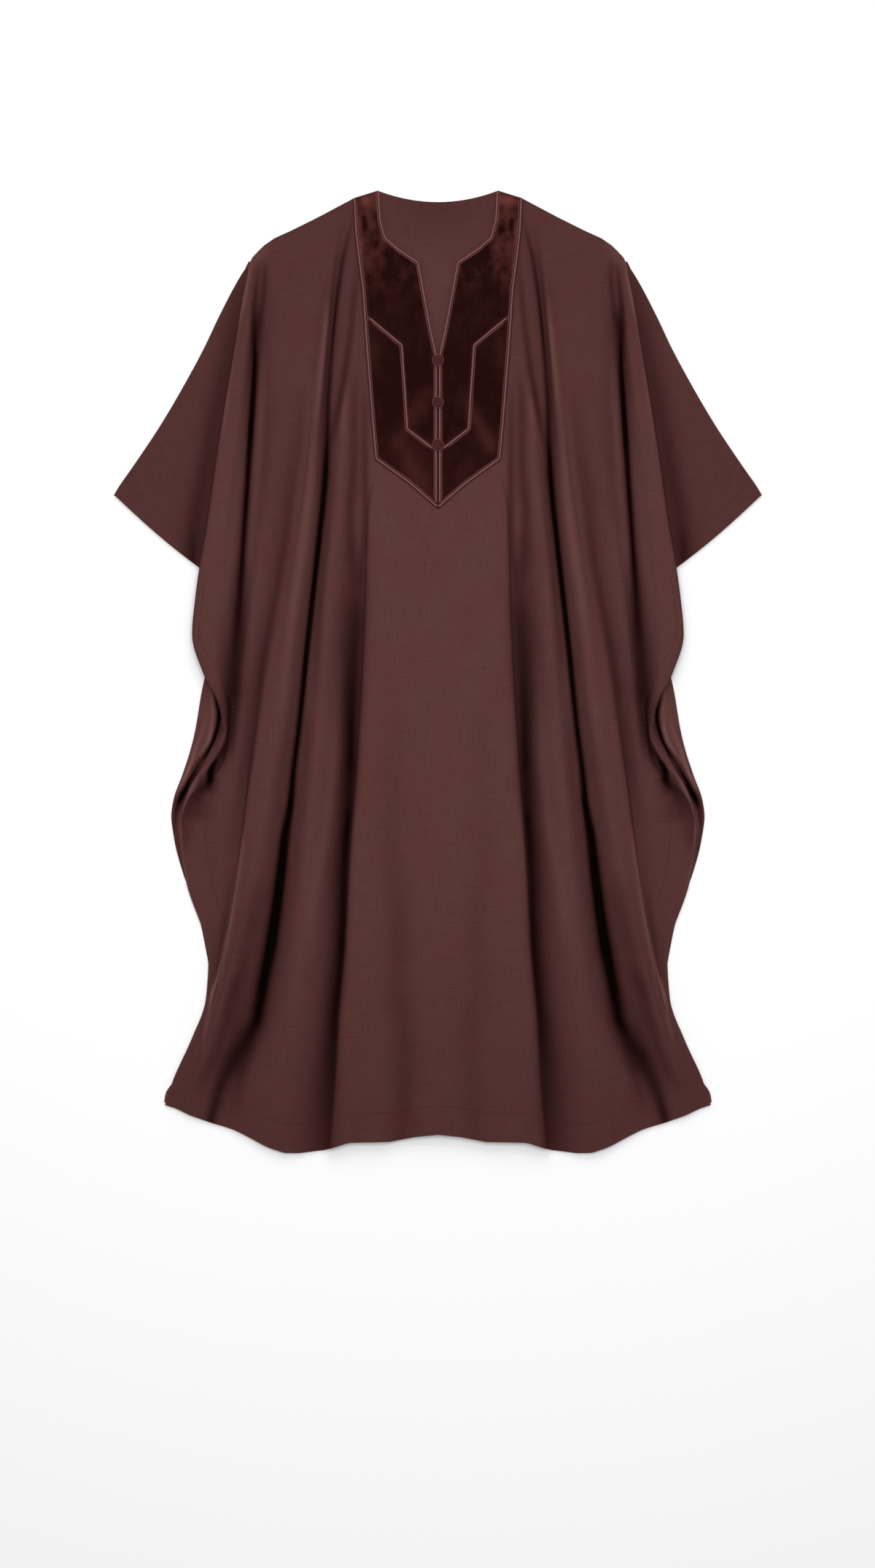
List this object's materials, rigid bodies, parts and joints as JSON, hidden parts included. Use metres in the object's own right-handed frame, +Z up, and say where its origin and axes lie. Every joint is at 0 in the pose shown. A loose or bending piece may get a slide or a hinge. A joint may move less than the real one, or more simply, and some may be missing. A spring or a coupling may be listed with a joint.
{
  "type": "grand boubou robe laid flat",
  "caption": "Wide open-sided robe laid face up with deep lengthwise folds, a velvet bib edged in cord round a V neck, and covered buttons.",
  "frame": {"origin": "centre of the robe's length and width, on the surface it lies on", "axes": "+Z up out of the front face, +Y towards the neck, +X towards the wearer's left sleeve"},
  "size_m": [0.8014, 1.1894, 0.0247],
  "materials": {
    "robe_cloth": "fine plain weave with slight slubs, soft matt",
    "bib_velvet": "short pile velvet",
    "piping": "satin-covered cord",
    "button_cover": "velvet-covered dome"
  },
  "bodies": {
    "root": {"back_panel": "robe_cloth", "front_panel": "robe_cloth", "sleeve_right": "robe_cloth", "sleeve_left": "robe_cloth", "bib_yoke_right": "bib_velvet", "bib_yoke_left": "bib_velvet", "bib_border_right": "bib_velvet", "bib_border_left": "bib_velvet", "piping_neck_right": "piping", "piping_neck_left": "piping", "piping_edge_right": "piping", "piping_edge_left": "piping", "piping_inner_right": "piping", "piping_inner_left": "piping", "button_1": "button_cover", "button_2": "button_cover", "button_3": "button_cover"}
  },
  "joints": []
}
